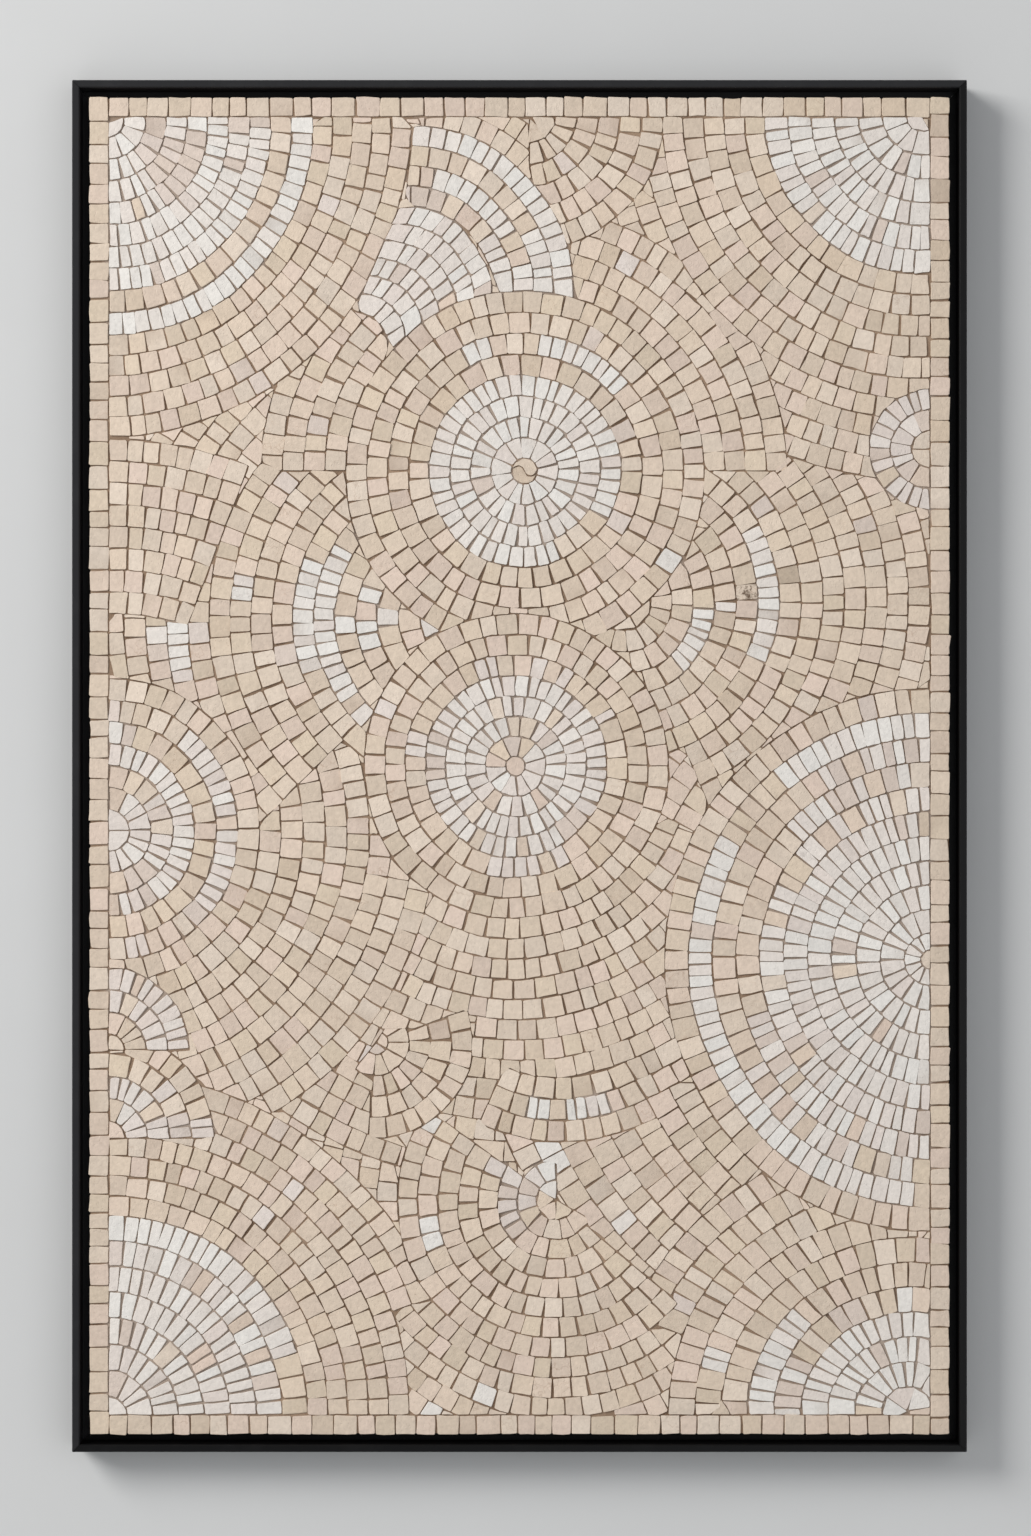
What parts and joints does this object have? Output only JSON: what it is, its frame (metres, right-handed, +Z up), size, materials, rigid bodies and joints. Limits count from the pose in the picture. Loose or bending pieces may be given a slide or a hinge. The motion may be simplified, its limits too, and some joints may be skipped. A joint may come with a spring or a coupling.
{
  "type": "mosaic wall panel",
  "caption": "Tall rectangular stone mosaic of white and cream fans and rosettes on a board, in a thin black floater frame, to hang on a wall.",
  "frame": {"origin": "middle of the top rail's rear face, where the panel bears on the wall", "axes": "+Z up, the panel's height; the picture faces -Y; +X is to the right seen from the front; the rear lies on y = 0"},
  "size_m": [0.9, 0.044, 1.3799],
  "materials": {
    "black_frame": "satin black paint",
    "cream_stone": "honed matte limestone and marble, cream",
    "white_stone": "honed matte marble, white",
    "setting_mortar": "dry brown mortar",
    "carrier_board": "raw sealed board"
  },
  "bodies": {
    "root": {"frame_rail_top": "black_frame", "frame_rail_right": "black_frame", "frame_rail_bottom": "black_frame", "frame_rail_left": "black_frame", "carrier_board": "carrier_board", "setting_bed": "setting_mortar", "border_top": "cream_stone", "border_right": "cream_stone", "border_bottom": "cream_stone", "border_left": "cream_stone", "cream_ground": "cream_stone", "corner_fan_top_left_heart": "white_stone", "corner_fan_top_left_cream_ring": "cream_stone", "corner_fan_top_left_white_ring": "white_stone", "corner_fan_top_right_heart": "white_stone", "corner_fan_bottom_left_heart": "white_stone", "corner_fan_bottom_right_heart": "white_stone", "upper_rosette_heart": "white_stone", "upper_rosette_crescent": "white_stone", "lower_rosette_heart": "white_stone", "left_half_rosette_heart": "white_stone", "left_half_rosette_band": "white_stone", "small_half_rosette": "white_stone", "large_half_rosette_heart": "white_stone", "large_half_rosette_band": "white_stone", "left_fan_band": "white_stone", "right_fan_inner_band": "white_stone", "right_fan_outer_band": "white_stone", "shell_fan_outer_band": "white_stone", "shell_fan_inner_band": "white_stone", "shell_fan_heart": "white_stone", "upper_side_fan_band": "white_stone", "lower_side_fan_band": "white_stone", "base_fan_band": "white_stone"}
  },
  "joints": []
}
